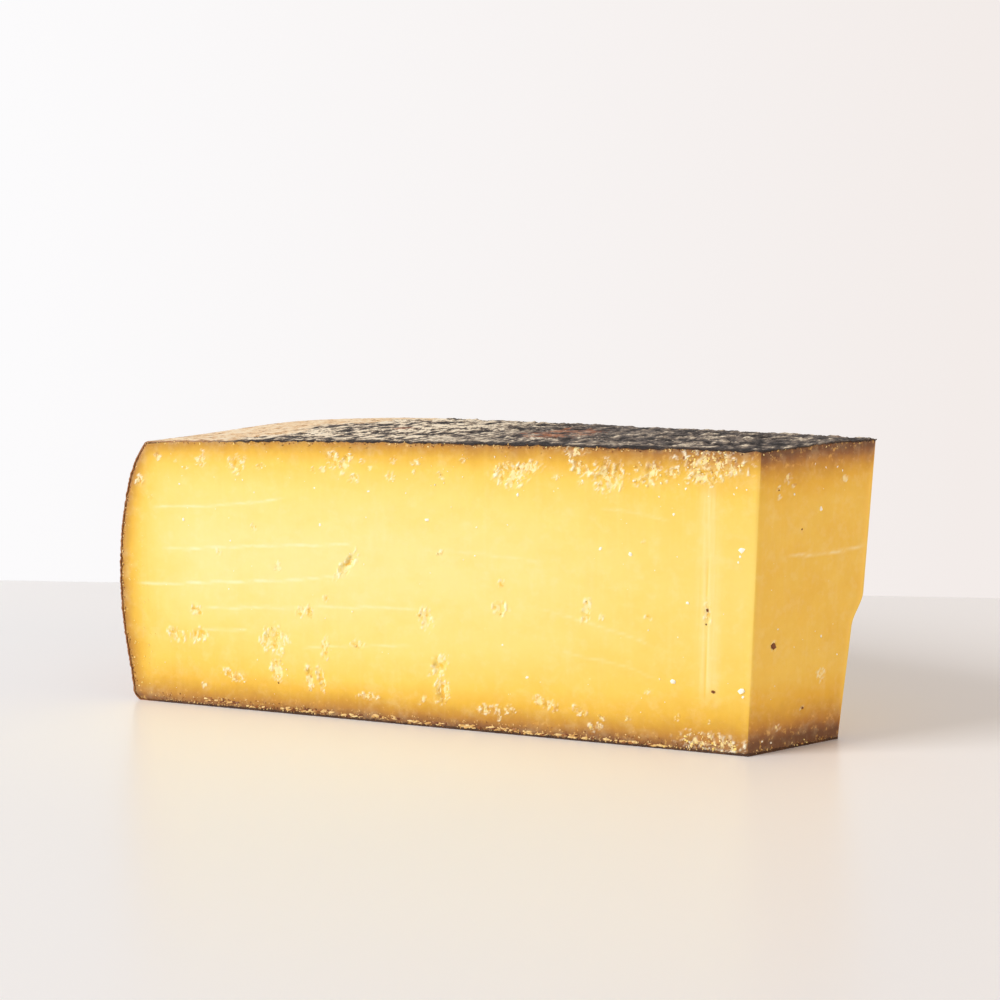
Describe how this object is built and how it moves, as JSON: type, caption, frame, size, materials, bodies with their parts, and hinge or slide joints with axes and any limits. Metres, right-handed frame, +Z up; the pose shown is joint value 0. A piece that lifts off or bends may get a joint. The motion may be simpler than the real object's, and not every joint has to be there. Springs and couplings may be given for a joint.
{
  "type": "cheese wedge",
  "caption": "Truncated wedge of aged mountain cheese as cut from a large flat wheel, with dark top rind, bulging heel, smooth yellow cut faces and a blunt nose.",
  "frame": {"origin": "bottom centre of the bounding box, on the surface the wedge stands on", "axes": "+X along the long front cut from the heel to the nose, +Y away from the front cut towards the back cut, +Z up from the bottom rind to the top rind"},
  "size_m": [0.2712, 0.1462, 0.1003],
  "materials": {
    "paste": "smooth, slightly waxy knife-cut cheese, translucent at the edges",
    "rind": "dry, wrinkled and mottled dark brown natural rind"
  },
  "bodies": {
    "root": {"cheese_wedge": "paste"}
  },
  "joints": []
}
